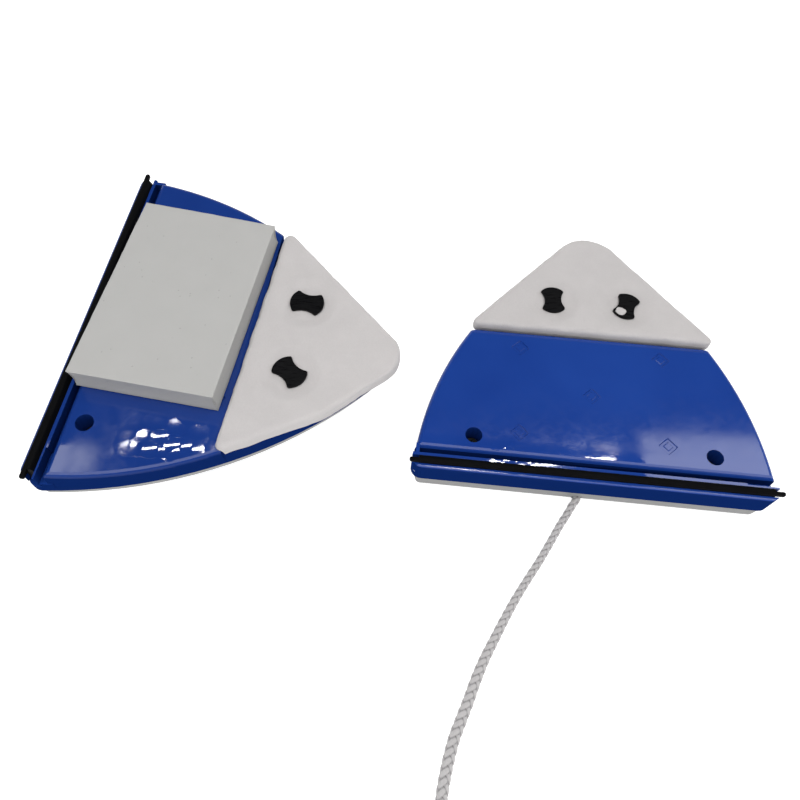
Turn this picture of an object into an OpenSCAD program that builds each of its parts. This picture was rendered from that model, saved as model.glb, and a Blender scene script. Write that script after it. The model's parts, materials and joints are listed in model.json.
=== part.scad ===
// Two-sided magnetic cleaner for window glass. The outer half hangs on a safety rope
// and the inner half has a grip on its back. Both halves are the same moulding: a face
// plate, a back shell, a rubber blade, a felt pad under two turn buttons, five disc
// magnets and a steel yoke plate. Both lie with their wiping faces up, the outer half
// on its back and the inner half on its grip.

/* [Face plate] */
// Half of the raised face's width at the blade
face_half_w = 95; // [94:0.5:96]
// Half of the raised face's width at the pad
face_top_half_w = 69; // [68:0.5:70]
// Depth of the raised face, from the blade side to the pad
face_depth = 79; // [78:0.5:80]
// How far the face's side edges bow outward
face_bow = 4.5; // [4:0.25:5]
// Height of the blue part, from the seam to the face
face_h = 15.5; // [15:0.5:17]
// Wall thickness of the mouldings
wall = 2.5; // [2:0.25:2.75]
// Step from the face down to the pad's shelf
shelf_step = 4.5; // [4:0.25:5]

/* [Body outline] */
// Half of the body's width at the blade corners
body_half_w = 97; // [96.5:0.5:99]
// Distance from the face's blade side to the front of the body
front_reach = 12; // [11.75:0.25:12.5]
// Distance from the face's blade side to the tip of the nose
nose_reach = 152; // [150:1:154]
// Radius of the body's long side arcs
side_r = 240; // [230:5:260]
// Radius of the nose
nose_r = 9; // [8:0.5:11]
// Radius of the blade corners in plan
corner_r = 6; // [5.5:0.5:7]

/* [Back shell] */
// Height of the shell's upright wall
shell_wall_h = 9; // [8:0.5:10]
// Height of the rounded back below the wall
dome_h = 7; // [7:0.5:9]

/* [Blade] */
// Length of the blade's thin lip, tip to tip
lip_len = 196; // [194:1:200]
// Height of the lip above the face
lip_rise = 2.2; // [1.8:0.1:2.4]

/* [Felt pad and turn buttons] */
// Thickness of the felt
pad_t = 8; // [7:0.5:9]
// Half of the distance between the two turn buttons
button_x = 21.6; // [21:0.2:23]
// Distance of the turn buttons from the face's blade side
button_y = 102.7; // [102:0.1:104]
// Diameter over the button's rounded ends
button_d = 18; // [17:0.5:19]
// Rest angles of the outer half's buttons, left and right
outer_button_turns = [4, -19];
// Rest angles of the inner half's buttons, left and right
inner_button_turns = [-4, -37];

/* [Magnets] */
// Diameter of a disc magnet
magnet_d = 22; // [20:0.5:22]
// Thickness of a disc magnet
magnet_t = 8; // [6:0.5:8]
// Thickness of the steel yoke plate
yoke_t = 1.5; // [1:0.25:2]

/* [Spacer block] */
// Foam block that keeps the halves apart in storage: length, width, thickness
spacer_size = [110.5, 73.8, 14.8];
// Centre of the block on the inner half's face
spacer_at = [-8.5, 38];
// Turn of the block on the face
spacer_turn = -2.7; // [-4:0.1:0]

/* [Grip] */
// Height of the grip under the inner half
grip_h = 36.5; // [34:0.5:40]
// Thickness of the grip's bar
grip_bar = 15; // [13:0.5:16]
// Width of the grip across the bar
grip_w = 30; // [28:0.5:32]
// Length of the grip along the blade
grip_len = 104; // [100:1:106]

/* [Rope] */
// Diameter of the braided rope
rope_d = 4.3; // [4:0.1:4.6]
// Diameter across the middle of the coil's turns
coil_d = 51; // [50:0.5:51.5]
// Turns of rope side by side in the coil
coil_wide = 4; // [3:1:4]
// Layers of turns on each other in the coil
coil_high = 2; // [2:1:3]

/* [Layout on the table] */
// Where the middle of the outer half stands
outer_at = [99.3, 3.4];
// Turn of the outer half
outer_turn = -4.9; // [-6:0.1:-4]
// Where the middle of the inner half stands
inner_at = [-96.2, -11.4];
// Turn of the inner half
inner_turn = -98.4; // [-100:0.1:-97]

/* [Hidden] */
$fn = 64;
HALF_PARTS = ["face_plate", "back_shell", "squeegee_blade", "felt_pad", "button_left",
    "button_right", "yoke_plate", "case_screws"];
MAGNETS = [for (i = [1:5]) str("magnet_", i)];

BLUE = [0.12, 0.24, 0.58];
WHITE = [0.80, 0.79, 0.77];
BLACK = [0.05, 0.05, 0.055];
FELT = [0.84, 0.82, 0.80];
FOAM = [0.70, 0.70, 0.68];
STEEL = [0.62, 0.63, 0.65];
ROPE = [0.78, 0.77, 0.75];

// Heights in a half, from the lowest point of its back
seam_z = dome_h + shell_wall_h;
face_z = seam_z + face_h;
shelf_z = face_z - shelf_step;
pad_top_z = shelf_z + pad_t;
magnet_top_z = face_z - wall;
magnet_z = magnet_top_z - magnet_t;
yoke_z = magnet_z - yoke_t;
shelf_under_z = shelf_z - wall;
// The middle of a half in plan, which the layout places
middle_y = 70;
// Further out than any part of a half, and the thickness of a slab in a hull
far = 200;
skin = 0.01;

// Roundings of the mouldings: the face's rim, the front rail, the seam and the dome
rim_inset = 2.6;
rim_drop = 2.8;
rail_r = 1.1;
seam_inset = 0.2;
shell_inset = 1.4;
dome_top_inset = 3.2;
dome_shift = -1.4;
dome_inset = 10;

// Screws that hold the two mouldings together
screw_spots = [[-64.5, 10], [64.5, 10], [0, 133]];
well_r = 4.6;
well_floor_z = face_z - 13;
screw_tip_z = dome_h + 1.5;
screw_r = 1.45;
pilot_r = 1.5;
clear_r = 1.8;
head_r = 3.5;
head_h = 2.4;
cross_half_len = 2;
cross_half_w = 0.45;
tube_r = 6.5;
boss_r = 4.5;
post_r = 3.5;

// Magnets sit in cups behind the face
magnet_spots = [[-40, 16], [40, 16], [0, 41], [-38, 61], [38, 61]];
cup_gap = 0.1;
cup_wall = 1.5;
yoke_outline = [[-53, 4], [53, 4], [50, 73], [-50, 73]];

// Small marks pressed into the face
mark_spots = [[-40, 14], [40, 14], [0, 41], [-40, 69], [40, 69]];
mark_side = 7.5;
mark_floor_side = 6.7;
mark_corner_r = 0.7;
mark_island = 4;
mark_depth = 0.5;
mark_island_depth = 0.15;

// Rails and channel for the blade, seen along the blade
rail_top_z = face_z - 0.6;
groove_end_x = 93;
inner_rail_end_x = 80;
channel_wall = 0.9;
slot_floor_z = face_z - 10.5;
slot_lip_z = slot_floor_z + 2.4;
slot_front_y = -9.5;
slot_back_y = -4.7;
slot_undercut = 1.2;
inner_rail_y = -3;
groove_floor_z = face_z - 7.5;
slide_gap = 0.1;
blade_body_end_x = 93;
lip_front_y = -9.5;
lip_back_y = -5.9;
lip_tip_back_y = -7.2;

// Turn buttons
stem_r = 3.2;
stem_bore_r = 3.25;
pad_hole_r = 3.8;
barb_r = 4;
barb_tip_r = 2.6;
barb_h = 3.5;
barb_slit = 1;
button_head_t = 1.3;
button_end_w = 12.8;
button_waist_w = 9.6;
button_waist_r = 10;
recess_r = button_d / 2 + 1;
head_under_z = pad_top_z - button_head_t + 0.2;
soft_gap = 0.3;
recess_z = head_under_z - soft_gap;

// Felt pads, cut by hand: each outline is drawn round circles with this middle and radius
outer_pad_circles = [[-65.2, 84, 3], [66.8, 84, 3], [0, 131.1, 21.2]];
inner_pad_circles = [[-62.8, 84.6, 4], [65.5, 79.2, 3.4], [31, 116.5, 13], [3, 142, 14.4]];

// Grip
grip_y = 50;
grip_gap_half = 33;
grip_corner_r = 13;
grip_gap_r = 8;
grip_screw_x = 42.5;
grip_screw_len = 16;
grip_pilot_h = 14;
grip_boss_z = 4;
grip_boss_r = 5;

// Rope: it leaves the back shell through a grommet, lies on the table and ends in a coil
rope_r = rope_d / 2;
rope_exit_x = -3;
rope_exit_z = 5;
grommet_in_y = -2;
grommet_out_y = -9;
grommet_r = 3.3;
grommet_bore_r = 2.35;
grommet_boss_r = 5.3;
grommet_boss_len = 4;
knot_r = 3.6;
knot_rest_gap = 0.1;
knot_y = 7;
tie_w = 8;
tie_t = 1;
tie_angle = 150;
ring_r = 19.5;
ring_wire_r = 3.4;
neck_len = 12;
neck_bore_r = 2.25;
neck_bore_depth = 9;
neck_angle = -29.5;
// Points of the rope's middle line on the table, from the shell's edge to the coil
rope_route = [
    [86.6, -80.5, 3.4], [83.2, -85.8, 2.4], [79.4, -91.2, rope_r], [73, -101.3, rope_r],
    [66.5, -111.3, rope_r], [59, -122, rope_r], [51.8, -132.8, rope_r], [45.6, -143.2, rope_r],
    [39.8, -153.6, rope_r], [34.2, -163.8, rope_r], [29.5, -174, rope_r], [25.4, -184, rope_r],
    [21.4, -193, rope_r], [17.6, -202, rope_r], [14, -214, rope_r], [11.4, -226, rope_r],
    [10.4, -239, rope_r], [10.3, -258, rope_r]];
rope_step = 11;
rope_sides = 8;

// The coil, which the rope runs into along its right side
bundle_w = coil_wide * rope_d;
bundle_h = coil_high * rope_d;
coil_in_r = (coil_d - bundle_w) / 2;
coil_out_r = (coil_d + bundle_w) / 2;
coil_at = [rope_route[len(rope_route) - 1].x + rope_r - coil_out_r, -266];
// Points of the rope's last stretch, from the coil's upper outer turn into the ring's neck,
// measured from the middle of the coil
end_route = [
    [8.3, -30.9, bundle_h - rope_r], [0.6, -32.9, 6.3], [-7.4, -34, 5.4], [-15.4, -34.2, 4.4],
    [-23.4, -33.4, 3.6], [-30.4, -31, ring_wire_r], [-37, -27.3, ring_wire_r]];
ring_at = coil_at + [-57.8, -15.5];

// ---- outlines ----

function polar(c, r, a) = c + r * [cos(a), sin(a)];
function arc(c, r, from, to, n) = [for (i = [0:n]) polar(c, r, from + (to - from) * i / n)];
function mirrored(pts) = [for (i = [len(pts) - 1:-1:0]) [-pts[i].x, pts[i].y]];
function heading(v) = atan2(v.y, v.x);

// The point at distance ra from a and rb from b, on the left of the way from a to b
function meeting(a, ra, b, rb) =
    let (d = norm(b - a), u = (b - a) / d, x = (d * d + ra * ra - rb * rb) / (2 * d))
    a + u * x + [-u.y, u.x] * sqrt(ra * ra - x * x);

// One side of the body, moved inward by d: corner arc, long side arc, nose arc
function body_side(d) =
    let (rc = max(corner_r - d, 1), rn = max(nose_r - d, 1), rs = side_r - d,
         corner = [body_half_w - d - rc, -front_reach + d + rc],
         nose = [0, nose_reach - d - rn],
         middle = meeting(corner, rs - rc, nose, rs - rn),
         low = heading(corner - middle), high = heading(nose - middle))
    concat(arc(corner, rc, -90, low, 6), arc(middle, rs, low, high, 20),
           arc(nose, rn, high, 90, 5));
function body_outline(d) = concat(body_side(d), mirrored(body_side(d)));

// One bowed side of the raised face, moved inward by d
function face_side(d) =
    let (low = [face_half_w, 0], high = [face_top_half_w, face_depth],
         chord = norm(high - low), r = (chord * chord / 4 + face_bow * face_bow) / (2 * face_bow),
         out = [high.y - low.y, low.x - high.x] / chord,
         middle = (low + high) / 2 - out * (r - face_bow),
         from = asin((d - middle.y) / (r - d)), to = asin((face_depth - d - middle.y) / (r - d)))
    arc(middle, r - d, from, to, 14);
function face_outline(d) = concat(face_side(d), mirrored(face_side(d)));

module slab(z, points, t = skin) {
    translate([0, 0, z]) linear_extrude(t) polygon(points);
}

module block(x0, x1, y0, y1, z0, z1) {
    translate([x0, y0, z0]) cube([x1 - x0, y1 - y0, z1 - z0]);
}

module rod(at, r, z0, z1) {
    translate([at.x, at.y, z0]) cylinder(r = r, h = z1 - z0);
}

// A profile in Y and Z drawn along X
module along_x(x0, x1) {
    translate([x0, 0, 0]) rotate([90, 0, 90]) linear_extrude(x1 - x0) children();
}

// ---- the two mouldings ----

module raised_face() {
    intersection() {
        hull() {
            for (a = [0:15:90])
                slab(face_z - skin - rim_drop * (1 - sin(a)), face_outline(rim_inset * (1 - cos(a))));
            slab(seam_z, body_outline(seam_inset));
        }
        block(-far, far, 0, face_depth, seam_z, face_z);
    }
}

module pad_shelf() {
    intersection() {
        slab(seam_z, body_outline(seam_inset), shelf_z - seam_z);
        block(-far, far, face_depth - wall, nose_reach, seam_z, shelf_z);
    }
}

module rails() {
    front = -front_reach;
    intersection() {
        along_x(-body_half_w, body_half_w) polygon([
            [front, seam_z],
            for (a = [0:15:90]) [front + rail_r * (1 - cos(a)), rail_top_z - rail_r * (1 - sin(a))],
            [slot_front_y, rail_top_z], [slot_front_y, slot_lip_z],
            [slot_front_y - slot_undercut, slot_lip_z],
            [slot_front_y - slot_undercut, slot_floor_z],
            [slot_back_y + slot_undercut, slot_floor_z],
            [slot_back_y + slot_undercut, slot_lip_z], [slot_back_y, slot_lip_z],
            [slot_back_y, rail_top_z], [inner_rail_y, rail_top_z],
            [inner_rail_y, groove_floor_z], [wall, groove_floor_z], [wall, seam_z]]);
        slab(seam_z, body_outline(seam_inset), face_h);
    }
    // The blade goes in at the other end, so the groove is closed at this one
    intersection() {
        block(-face_half_w, -groove_end_x, inner_rail_y, wall, seam_z, rail_top_z);
        slab(seam_z, body_outline(seam_inset), face_h);
    }
}

module face_cavity() {
    slab(seam_z - 1, face_outline(wall), magnet_top_z - seam_z + 1);
    intersection() {
        slab(seam_z - 1, body_outline(wall + seam_inset), shelf_under_z - seam_z + 1);
        block(-far, far, face_depth - wall - 1, nose_reach, seam_z - 1, shelf_under_z);
    }
}

// Shallow turned squares with sloping walls and a lower island in the middle
module face_marks() {
    for (spot = mark_spots)
        translate([spot.x, spot.y, face_z - mark_depth]) rotate(45) difference() {
            linear_extrude(mark_depth, scale = mark_side / mark_floor_side)
                offset(mark_corner_r, $fn = 16) square(mark_floor_side - 2 * mark_corner_r, center = true);
            translate([0, 0, -skin])
                linear_extrude(mark_depth - mark_island_depth, scale = 0.8)
                    square(mark_island, center = true);
        }
}

module face_plate() {
    color(BLUE) difference() {
        union() {
            difference() {
                union() {
                    raised_face();
                    pad_shelf();
                    rails();
                }
                face_cavity();
            }
            for (spot = magnet_spots)
                rod(spot, magnet_d / 2 + cup_gap + cup_wall, magnet_z, face_z - 1);
            for (i = [0:1]) rod(screw_spots[i], tube_r, seam_z, face_z - 1);
            rod(screw_spots[2], tube_r, seam_z, shelf_z - 1);
        }
        for (spot = magnet_spots) rod(spot, magnet_d / 2 + cup_gap, magnet_z - 1, magnet_top_z);
        for (spot = screw_spots) {
            rod(spot, well_r, well_floor_z, face_z + 1);
            rod(spot, clear_r, seam_z - 1, well_floor_z + 1);
        }
        for (side = [-1, 1]) rod([side * button_x, button_y], stem_bore_r, seam_z, shelf_z + 1);
        block(inner_rail_end_x, body_half_w + 1, slot_back_y + channel_wall, 0, groove_floor_z, face_z + 1);
        face_marks();
    }
}

// The dome's side is a quarter ellipse from the flat back up to the wall, which leans out at
// the sides and the nose and is upright at the front
module dome(inset, bottom, step) {
    translate([0, dome_shift, 0]) for (a = [-90:step:0])
        slab(bottom + (dome_h - bottom) * (1 + sin(a)),
             body_outline(dome_top_inset + inset + dome_inset * (1 - cos(a))));
}

module shell_body() {
    difference() {
        hull() {
            dome(0, 0, 15);
            slab(seam_z - skin, body_outline(shell_inset));
        }
        hull() {
            dome(wall, wall, 30);
            slab(seam_z + 1, body_outline(shell_inset + wall));
        }
    }
}

module back_shell() {
    difference() {
        union() {
            shell_body();
            for (spot = screw_spots) rod(spot, boss_r, wall - 1, seam_z);
            for (spot = magnet_spots) rod(spot, post_r, wall - 1, yoke_z);
        }
        for (spot = screw_spots) rod(spot, pilot_r, dome_h + 1, seam_z + 1);
    }
}

module outer_back_shell() {
    color(WHITE) difference() {
        union() {
            back_shell();
            // A boss behind the front wall, which the grommet sits in
            intersection() {
                translate([rope_exit_x, grommet_in_y - grommet_boss_len, rope_exit_z])
                    rotate([-90, 0, 0]) cylinder(r = grommet_boss_r, h = grommet_boss_len);
                block(-far, far, -far, far, 1, seam_z);
            }
        }
        translate([rope_exit_x, -front_reach - 1, rope_exit_z]) rotate([-90, 0, 0])
            cylinder(r = grommet_r, h = front_reach + 1);
    }
}

module inner_back_shell() {
    color(WHITE) difference() {
        union() {
            back_shell();
            for (side = [-1, 1]) rod([side * grip_screw_x, grip_y], grip_boss_r, 1, grip_boss_z);
        }
        for (side = [-1, 1]) rod([side * grip_screw_x, grip_y], clear_r, -1, grip_boss_z + 1);
    }
}

// A pan-head screw that points down from under its head, with a cross recess
module pan_screw(under_z, shank) {
    difference() {
        union() {
            rod([0, 0], head_r, under_z, under_z + head_h);
            rod([0, 0], screw_r, under_z - shank, under_z + 1);
        }
        for (turn = [0, 90])
            rotate(turn) block(-cross_half_len, cross_half_len, -cross_half_w, cross_half_w,
                under_z + 1, under_z + head_h + 1);
    }
}

module case_screws() {
    color(STEEL) for (spot = screw_spots)
        translate([spot.x, spot.y, 0]) pan_screw(well_floor_z, well_floor_z - screw_tip_z);
}

// ---- blade ----

module squeegee_blade() {
    front = slot_front_y + slide_gap;
    back = slot_back_y - slide_gap;
    foot_z = slot_floor_z + slide_gap;
    foot_top = slot_lip_z - slide_gap;
    foot_out = slot_undercut - slide_gap;
    lip_z = face_z + lip_rise;
    color(BLACK) {
        along_x(-blade_body_end_x, blade_body_end_x) polygon([
            [front - foot_out, foot_z], [back + foot_out, foot_z], [back + foot_out, foot_top],
            [back, foot_top], [back, rail_top_z + 0.2], [lip_back_y, lip_z], [lip_front_y, lip_z],
            [front, rail_top_z + 0.2], [front, foot_top], [front - foot_out, foot_top]]);
        for (side = [-1, 1]) along_x(
            min(side * (blade_body_end_x - 1), side * lip_len / 2),
            max(side * (blade_body_end_x - 1), side * lip_len / 2))
            polygon([[lip_front_y, rail_top_z + 0.5], [lip_tip_back_y, rail_top_z + 0.5],
                [lip_tip_back_y, lip_z], [lip_front_y, lip_z]]);
    }
}

// ---- felt pad and its turn buttons ----

module felt_pad(circles) {
    color(FELT) difference() {
        translate([0, 0, shelf_z]) linear_extrude(pad_t) hull()
            for (c = circles) translate([c.x, c.y]) circle(c.z);
        block(-far, far, 0, face_depth + soft_gap, 0, face_z + soft_gap);
        for (side = [-1, 1]) {
            rod([side * button_x, button_y], pad_hole_r, shelf_z - 1, pad_top_z + 1);
            rod([side * button_x, button_y], recess_r, recess_z, pad_top_z + 1);
        }
    }
}

module turn_button(side, turn) {
    waist_at = button_waist_w / 2 + button_waist_r;
    color(BLACK) translate([side * button_x, button_y, 0]) rotate(turn) {
        translate([0, 0, head_under_z]) linear_extrude(button_head_t) difference() {
            intersection() {
                circle(d = button_d);
                square([button_end_w, button_d + 1], center = true);
            }
            for (flank = [-1, 1]) translate([flank * waist_at, 0]) circle(button_waist_r);
        }
        difference() {
            union() {
                rod([0, 0], stem_r, shelf_under_z - 1, head_under_z + 0.5);
                translate([0, 0, shelf_under_z - slide_gap]) rotate_extrude() polygon([
                    [0, 0], [barb_r, 0], [barb_r, -barb_h / 5], [barb_tip_r, -barb_h], [0, -barb_h]]);
            }
            block(-barb_slit / 2, barb_slit / 2, -stem_r * 2, stem_r * 2,
                  shelf_under_z - 2 * barb_h, shelf_under_z + 1);
        }
    }
}

// ---- magnets and yoke ----

module magnet(index) {
    color(STEEL) rod(magnet_spots[index], magnet_d / 2, magnet_z, magnet_top_z);
}

module yoke_plate() {
    color(STEEL) slab(yoke_z, yoke_outline, yoke_t);
}

// ---- what only the inner half has ----

// A slab of width w along Y whose two lower corners are round, seen along Y
module rounded_slab(half, top, low, r, w) {
    block(-half, half, grip_y - w / 2, grip_y + w / 2, low + r, top);
    block(-half + r, half - r, grip_y - w / 2, grip_y + w / 2, low, top);
    for (side = [-1, 1])
        translate([side * (half - r), grip_y + w / 2, low + r])
            rotate([90, 0, 0]) cylinder(r = r, h = w);
}

module grip_handle() {
    color(BLUE) difference() {
        rounded_slab(grip_len / 2, 0, -grip_h, grip_corner_r, grip_w);
        rounded_slab(grip_gap_half, 1, grip_bar - grip_h, grip_gap_r, grip_w + 2);
        for (side = [-1, 1]) rod([side * grip_screw_x, grip_y], pilot_r, -grip_pilot_h, 1);
    }
}

module handle_screws() {
    color(STEEL) for (side = [-1, 1])
        translate([side * grip_screw_x, grip_y, 0]) pan_screw(grip_boss_z, grip_screw_len);
}

module spacer_block() {
    color(FOAM) translate([spacer_at.x, spacer_at.y, face_z + soft_gap + spacer_size.z / 2])
        rotate(spacer_turn) cube(spacer_size, center = true);
}

// ---- safety rope on the outer half ----

module rope_grommet() {
    color(BLACK) translate([rope_exit_x, grommet_out_y, rope_exit_z]) rotate([-90, 0, 0])
        difference() {
            cylinder(r = grommet_r, h = grommet_in_y - grommet_out_y);
            translate([0, 0, -1]) cylinder(r = grommet_bore_r, h = grommet_in_y - grommet_out_y + 2);
        }
}

module rope_knot() {
    color(ROPE) translate([rope_exit_x, knot_y, wall + knot_r + knot_rest_gap]) sphere(knot_r);
}

function placed(at, turn, p) =
    let (q = [p.x, p.y - middle_y])
    [at.x + q.x * cos(turn) - q.y * sin(turn), at.y + q.x * sin(turn) + q.y * cos(turn), p.z];

function catmull(a, b, c, d, t) =
    (2 * b + (c - a) * t + (2 * a - 5 * b + 4 * c - d) * t * t
     + (3 * b - a - 3 * c + d) * t * t * t) / 2;

// Rope: from inside the knot, out through the grommet and along the table
rope_points = concat(
    [for (y = [knot_y - 3, -3, -10]) placed(outer_at, outer_turn, [rope_exit_x, y, rope_exit_z])],
    rope_route);
end_points = [for (p = end_route) [coil_at.x + p.x, coil_at.y + p.y, p.z]];

function between(pts, i, t) =
    catmull(pts[max(i - 1, 0)], pts[i], pts[i + 1], pts[min(i + 2, len(pts) - 1)], t);

function smooth_line(pts) = [
    for (i = [0:len(pts) - 2])
        let (n = max(1, ceil(norm(pts[i + 1] - pts[i]) / rope_step)))
        for (k = [0:n - 1]) between(pts, i, k / n),
    pts[len(pts) - 1]];

// A tube of rope_sides sides around a line of points
module tube(line, r, sides) {
    last = len(line) - 1;
    rings = [for (i = [0:last])
        let (way = line[min(i + 1, last)] - line[max(i - 1, 0)],
             side = [way.y, -way.x, 0] / norm([way.x, way.y]),
             up = cross(side, way / norm(way)))
        for (k = [0:sides - 1])
            line[i] + r * (cos(360 * (k + 0.5) / sides) * side + sin(360 * (k + 0.5) / sides) * up)];
    walls = [for (i = [0:last - 1], k = [0:sides - 1])
        let (a = i * sides + k, b = i * sides + (k + 1) % sides)
        [a, b, b + sides, a + sides]];
    polyhedron(rings, concat(walls, [[for (k = [sides - 1:-1:0]) k]],
        [[for (k = [0:sides - 1]) last * sides + k]]));
}

module rope() {
    color(ROPE) tube(smooth_line(rope_points), rope_r, rope_sides);
}

module rope_coil() {
    color(ROPE) translate([coil_at.x, coil_at.y, 0]) rotate_extrude()
        translate([coil_in_r, 0]) square([bundle_w, bundle_h]);
}

module rope_end() {
    color(ROPE) tube(smooth_line(end_points), rope_r, rope_sides);
}

module coil_tie() {
    color(BLACK) translate([coil_at.x, coil_at.y, 0]) rotate(tie_angle)
        difference() {
            block(coil_in_r - tie_t, coil_out_r + tie_t, -tie_w / 2, tie_w / 2,
                  0, bundle_h + tie_t);
            block(coil_in_r + tie_t, coil_out_r - tie_t, -tie_w, tie_w, tie_t, bundle_h - tie_t);
        }
}

// A finger ring with a neck that the rope's end is fixed in
module pull_ring() {
    color(WHITE) translate([ring_at.x, ring_at.y, ring_wire_r]) difference() {
        union() {
            rotate_extrude() translate([ring_r, 0]) circle(ring_wire_r);
            rotate([0, 90, neck_angle]) translate([0, 0, ring_r])
                cylinder(r = ring_wire_r, h = neck_len);
        }
        rotate([0, 90, neck_angle]) translate([0, 0, ring_r + neck_len - neck_bore_depth])
            cylinder(r = neck_bore_r, h = neck_bore_depth + 1);
    }
}

// ---- placing ----

module outer_half() {
    translate([outer_at.x, outer_at.y, 0]) rotate(outer_turn)
        translate([0, -middle_y, 0]) children();
}

module inner_half() {
    translate([inner_at.x, inner_at.y, grip_h]) rotate(inner_turn)
        translate([0, -middle_y, 0]) children();
}

outer_half() face_plate();  // outer_face_plate
outer_half() outer_back_shell();
outer_half() squeegee_blade();  // outer_squeegee_blade
outer_half() felt_pad(outer_pad_circles);  // outer_felt_pad
outer_half() turn_button(-1, outer_button_turns[0]);  // outer_button_left
outer_half() turn_button(1, outer_button_turns[1]);  // outer_button_right
outer_half() yoke_plate();  // outer_yoke_plate
outer_half() case_screws();  // outer_case_screws
for (i = [0:4]) outer_half() magnet(i);

inner_half() face_plate();  // inner_face_plate
inner_half() inner_back_shell();
inner_half() squeegee_blade();  // inner_squeegee_blade
inner_half() felt_pad(inner_pad_circles);  // inner_felt_pad
inner_half() turn_button(-1, inner_button_turns[0]);  // inner_button_left
inner_half() turn_button(1, inner_button_turns[1]);  // inner_button_right
inner_half() yoke_plate();  // inner_yoke_plate
inner_half() case_screws();  // inner_case_screws
for (i = [0:4]) inner_half() magnet(i);

inner_half() grip_handle();
inner_half() handle_screws();
inner_half() spacer_block();
outer_half() rope_grommet();
outer_half() rope_knot();
rope();
rope_coil();
rope_end();
coil_tie();
pull_ring();
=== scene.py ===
"""Looks of the two-sided magnetic window cleaner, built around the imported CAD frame.

Lengths are in millimetres up to the moment a mesh is made, in metres, unless a comment says
otherwise. A half's local frame: x along its blade, y from the blade side of the face to the nose,
z up from the half's back.
"""

import json
import math

import bmesh
import bpy
from mathutils import Matrix, Vector, noise


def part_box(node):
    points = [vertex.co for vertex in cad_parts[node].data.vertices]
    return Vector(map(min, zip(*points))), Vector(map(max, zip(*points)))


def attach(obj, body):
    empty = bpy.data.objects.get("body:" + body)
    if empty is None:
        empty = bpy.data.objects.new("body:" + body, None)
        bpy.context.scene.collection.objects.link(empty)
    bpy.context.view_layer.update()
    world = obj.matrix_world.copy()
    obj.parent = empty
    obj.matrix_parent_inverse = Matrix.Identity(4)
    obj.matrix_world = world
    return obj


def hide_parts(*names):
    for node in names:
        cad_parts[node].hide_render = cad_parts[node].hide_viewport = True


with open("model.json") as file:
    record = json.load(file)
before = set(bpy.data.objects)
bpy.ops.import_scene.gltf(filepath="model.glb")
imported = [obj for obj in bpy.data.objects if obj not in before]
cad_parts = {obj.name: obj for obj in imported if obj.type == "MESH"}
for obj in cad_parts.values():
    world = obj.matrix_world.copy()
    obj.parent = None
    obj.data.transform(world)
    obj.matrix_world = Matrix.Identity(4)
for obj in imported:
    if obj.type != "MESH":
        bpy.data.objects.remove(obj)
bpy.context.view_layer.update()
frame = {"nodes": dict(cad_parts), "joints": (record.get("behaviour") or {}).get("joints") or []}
NODES = frame["nodes"]
MM = 0.001


# ---- the two halves' places, from the record's joints ----

# The CAD model's levels in a half, and where its turn buttons' axes stand
BUTTON_Y = 102.7
FACE_Z = 31.5
SHELF_Z = 27.0
PAD_TOP_Z = 35.0
RAIL_TOP_Z = 30.9


def joint(name):
    return next(j for j in frame["joints"] if j["name"] == name)


class Half:
    """Turns a half's local millimetres into the row frame's metres."""

    def __init__(self, side):
        self.side = side
        left = Vector(joint(f"{side}_left_button_turn")["pos_m"])
        right = Vector(joint(f"{side}_right_button_turn")["pos_m"])
        self.x = (right - left).normalized()
        self.y = Vector((-self.x.y, self.x.x, 0))
        self.origin = (left + right) / 2 - self.y * BUTTON_Y * MM
        self.origin.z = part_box(f"{side}_back_shell")[0].z
        self.turn = math.atan2(self.x.y, self.x.x)
        self.button_x = (right - left).length / 2 / MM

    def at(self, x, y, z):
        return self.origin + (self.x * x + self.y * y + Vector((0, 0, z))) * MM


OUTER = Half("outer")
INNER = Half("inner")


# ---- camera, at the photograph's viewing angle: a place in metres and angles in degrees ----

CAMERA_AT = (-0.02415, -0.2248, 0.37924)
CAMERA_TILT = 27.007
CAMERA_ROLL = 1.049
CAMERA_LENS = 32.33
CAMERA_SHIFT = (0.0324, 0.0343)


def make_camera():
    camera = bpy.data.objects.new("camera", bpy.data.cameras.new("camera"))
    bpy.context.scene.collection.objects.link(camera)
    turn = Matrix.Rotation(math.radians(CAMERA_TILT), 4, "X")
    roll = Matrix.Rotation(math.radians(CAMERA_ROLL), 4, "Z")
    camera.matrix_world = Matrix.Translation(CAMERA_AT) @ turn @ roll
    camera.data.lens = CAMERA_LENS
    camera.data.shift_x, camera.data.shift_y = CAMERA_SHIFT
    camera.data.clip_start = 0.01
    bpy.context.scene.camera = camera


# ---- meshes ----

def mesh_piece(name, points, faces, material=None, sharp=None):
    """A new closed mesh object from points in metres, sharp where faces meet at more than an angle."""
    mesh = bpy.data.meshes.new(name)
    mesh.from_pydata([tuple(p) for p in points], [], faces)
    mesh.validate()
    shape = bmesh.new()
    shape.from_mesh(mesh)
    bmesh.ops.recalc_face_normals(shape, faces=shape.faces)
    shape.to_mesh(mesh)
    shape.free()
    piece = bpy.data.objects.new(name, mesh)
    bpy.context.scene.collection.objects.link(piece)
    if material:
        mesh.materials.append(material)
    for face in mesh.polygons:
        face.use_smooth = True
    if sharp:
        mesh.set_sharp_from_angle(angle=math.radians(sharp))
    return piece


def loft(rings):
    """Quads between rings of equally many points, with a cap at each end."""
    points = [p for ring in rings for p in ring]
    n = len(rings[0])
    faces = []
    for r in range(len(rings) - 1):
        for k in range(n):
            a, b = r * n + k, r * n + (k + 1) % n
            faces.append((a, b, b + n, a + n))
    faces.append(tuple(reversed(range(n))))
    faces.append(tuple(range((len(rings) - 1) * n, len(rings) * n)))
    return points, faces


def smoothstep(t):
    t = min(max(t, 0.0), 1.0)
    return t * t * (3 - 2 * t)


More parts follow.
